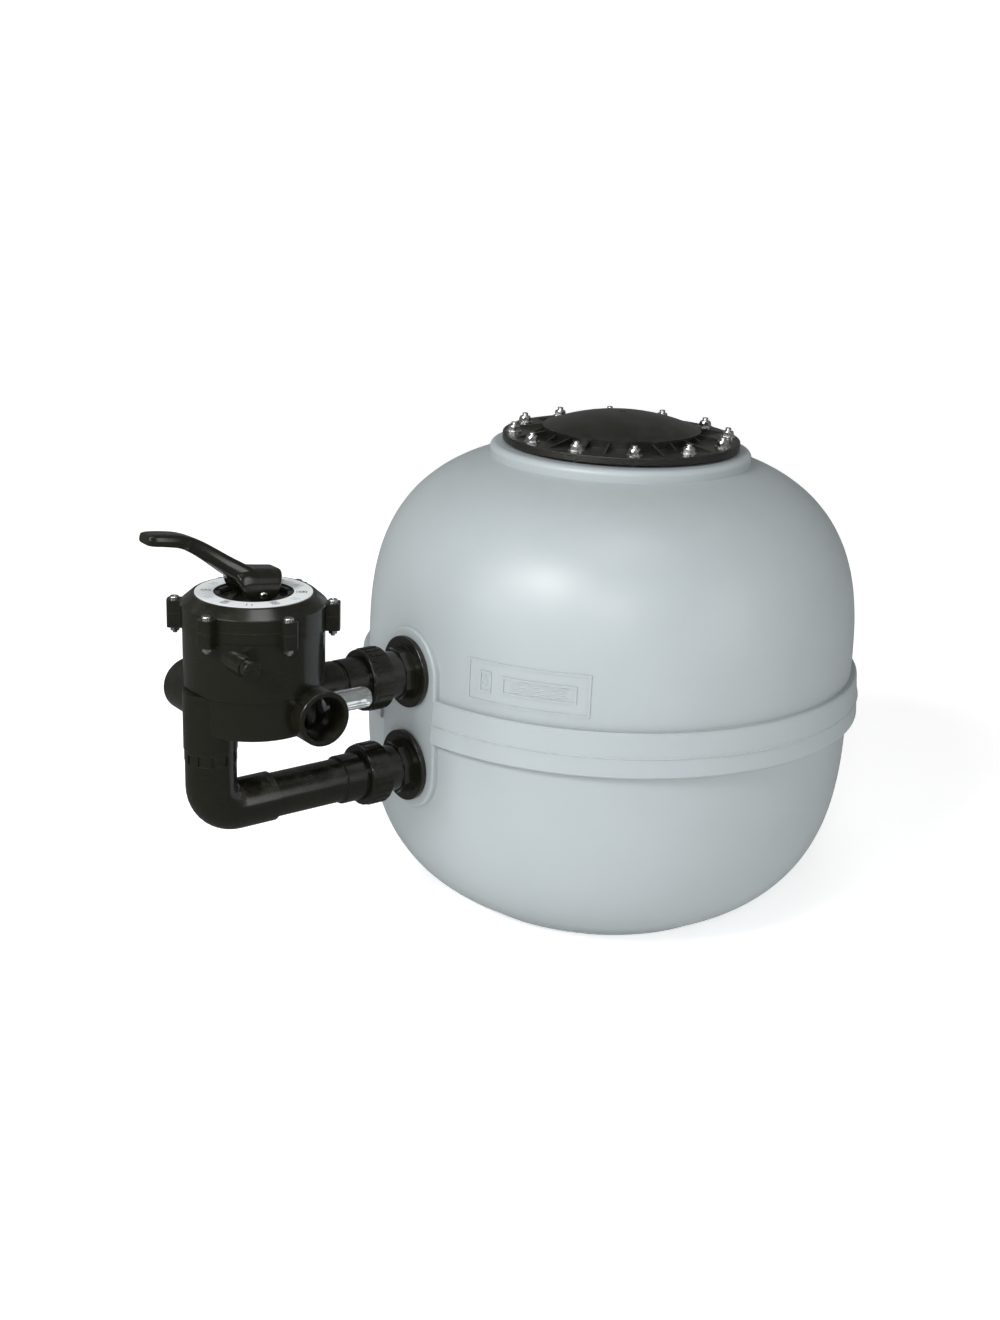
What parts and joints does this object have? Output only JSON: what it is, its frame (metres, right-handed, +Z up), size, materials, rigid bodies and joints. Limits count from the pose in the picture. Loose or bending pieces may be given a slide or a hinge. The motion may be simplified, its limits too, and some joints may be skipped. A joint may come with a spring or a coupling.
{
  "type": "sand filter tank",
  "caption": "Round moulded sand filter tank with a bolted domed lid and a side-mounted selector valve with lever handle, unions, sight glass and inner collector, for filtering pool water.",
  "frame": {"origin": "centre of the tank's flat foot, on the floor", "axes": "+Z up; the selector valve stands towards -X, its waste port points to -Y and its pump and return ports to +Y"},
  "size_m": [0.9412, 0.6226, 0.6082],
  "materials": {
    "tank_grey": "moulded polyethylene, satin with fine grain",
    "lid_black": "moulded glass-filled plastic, satin",
    "valve_black": "moulded plastic, glossy",
    "black_plastic": "moulded plastic, semi-gloss",
    "pipe_black": "extruded plastic pipe, glossy",
    "handle_black": "moulded plastic, glossy",
    "inner_plastic": "plain white plastic",
    "bright_steel": "stainless, bright",
    "polished_steel": "polished stainless",
    "spring_steel": "drawn stainless wire",
    "rubber": "matt rubber",
    "label_white": "printed film, satin",
    "clear_plastic": "clear polycarbonate"
  },
  "bodies": {
    "tank": {"tank_lower_shell": "tank_grey", "tank_upper_shell": "tank_grey", "lid_gasket": "rubber", "lid_studs": "bright_steel", "upper_tank_connector": "black_plastic", "lower_tank_connector": "black_plastic", "upper_connector_seal": "rubber", "lower_connector_seal": "rubber", "upper_inner_seal": "rubber", "lower_inner_seal": "rubber", "upper_locknut": "black_plastic", "lower_locknut": "black_plastic", "upper_union_o_ring": "rubber", "lower_union_o_ring": "rubber", "upper_tailpiece": "black_plastic", "lower_tailpiece": "black_plastic", "upper_nipple": "pipe_black", "lower_pipe": "pipe_black", "riser_elbow": "pipe_black", "riser_adapter": "black_plastic", "valve_body": "valve_black", "cover_o_ring": "rubber", "valve_cover": "valve_black", "cover_screws": "bright_steel", "cover_nuts": "bright_steel", "position_label": "label_white", "spider_gasket": "rubber", "spring_washer": "bright_steel", "sight_glass": "clear_plastic", "sight_glass_o_ring": "rubber", "gauge_plug": "black_plastic", "gauge_plug_o_ring": "rubber", "drain_plug": "black_plastic", "drain_seal": "rubber", "upper_inner_pipe": "inner_plastic", "upper_inner_elbow": "inner_plastic", "diffuser_riser": "inner_plastic", "top_diffuser": "inner_plastic", "lower_inner_pipe": "inner_plastic", "lower_inner_elbow": "inner_plastic", "centre_pipe": "inner_plastic", "collector_hub": "inner_plastic", "laterals": "inner_plastic"},
    "lid": {"lid": "lid_black", "lid_washers": "bright_steel", "lid_nuts": "bright_steel"},
    "upper_union_ring": {"upper_union_nut": "black_plastic"},
    "lower_union_ring": {"lower_union_nut": "black_plastic"},
    "selector": {"slip_washer": "black_plastic"},
    "rotor": {"rotor": "black_plastic", "stem_o_ring": "rubber", "handle_pin": "polished_steel", "rotor_spring": "spring_steel"},
    "handle": {"handle": "handle_black"}
  },
  "joints": [
    {"name": "lid_lift", "type": "slide", "parent": "tank", "child": "lid", "axis": [0, 0, 1], "range_m": [0, 0.22]},
    {"name": "upper_nut_turn", "type": "hinge", "parent": "tank", "child": "upper_union_ring", "pos_m": [-0.3565, 0, 0.33], "axis": [-1, 0, 0], "continuous": true},
    {"name": "lower_nut_turn", "type": "hinge", "parent": "tank", "child": "lower_union_ring", "pos_m": [-0.3565, 0, 0.215], "axis": [-1, 0, 0], "continuous": true},
    {"name": "selector_turn", "type": "hinge", "parent": "tank", "child": "selector", "pos_m": [-0.5036, 0, 0.454], "axis": [0, 0, 1], "continuous": true},
    {"name": "rotor_lift", "type": "slide", "parent": "selector", "child": "rotor", "axis": [0, 0, 1], "range_m": [0, 0.003], "deforming": ["rotor_spring"]},
    {"name": "handle_press", "type": "hinge", "parent": "rotor", "child": "handle", "pos_m": [-0.5036, 0, 0.454], "axis": [0, -1, 0], "range_deg": [0, 20], "stiffness_Nm_per_rad": 4, "springref_deg": -20.05}
  ],
  "couplings": [
    {"joint": "rotor_lift", "follows": "handle_press", "m_per_rad": 0.0085943}
  ]
}
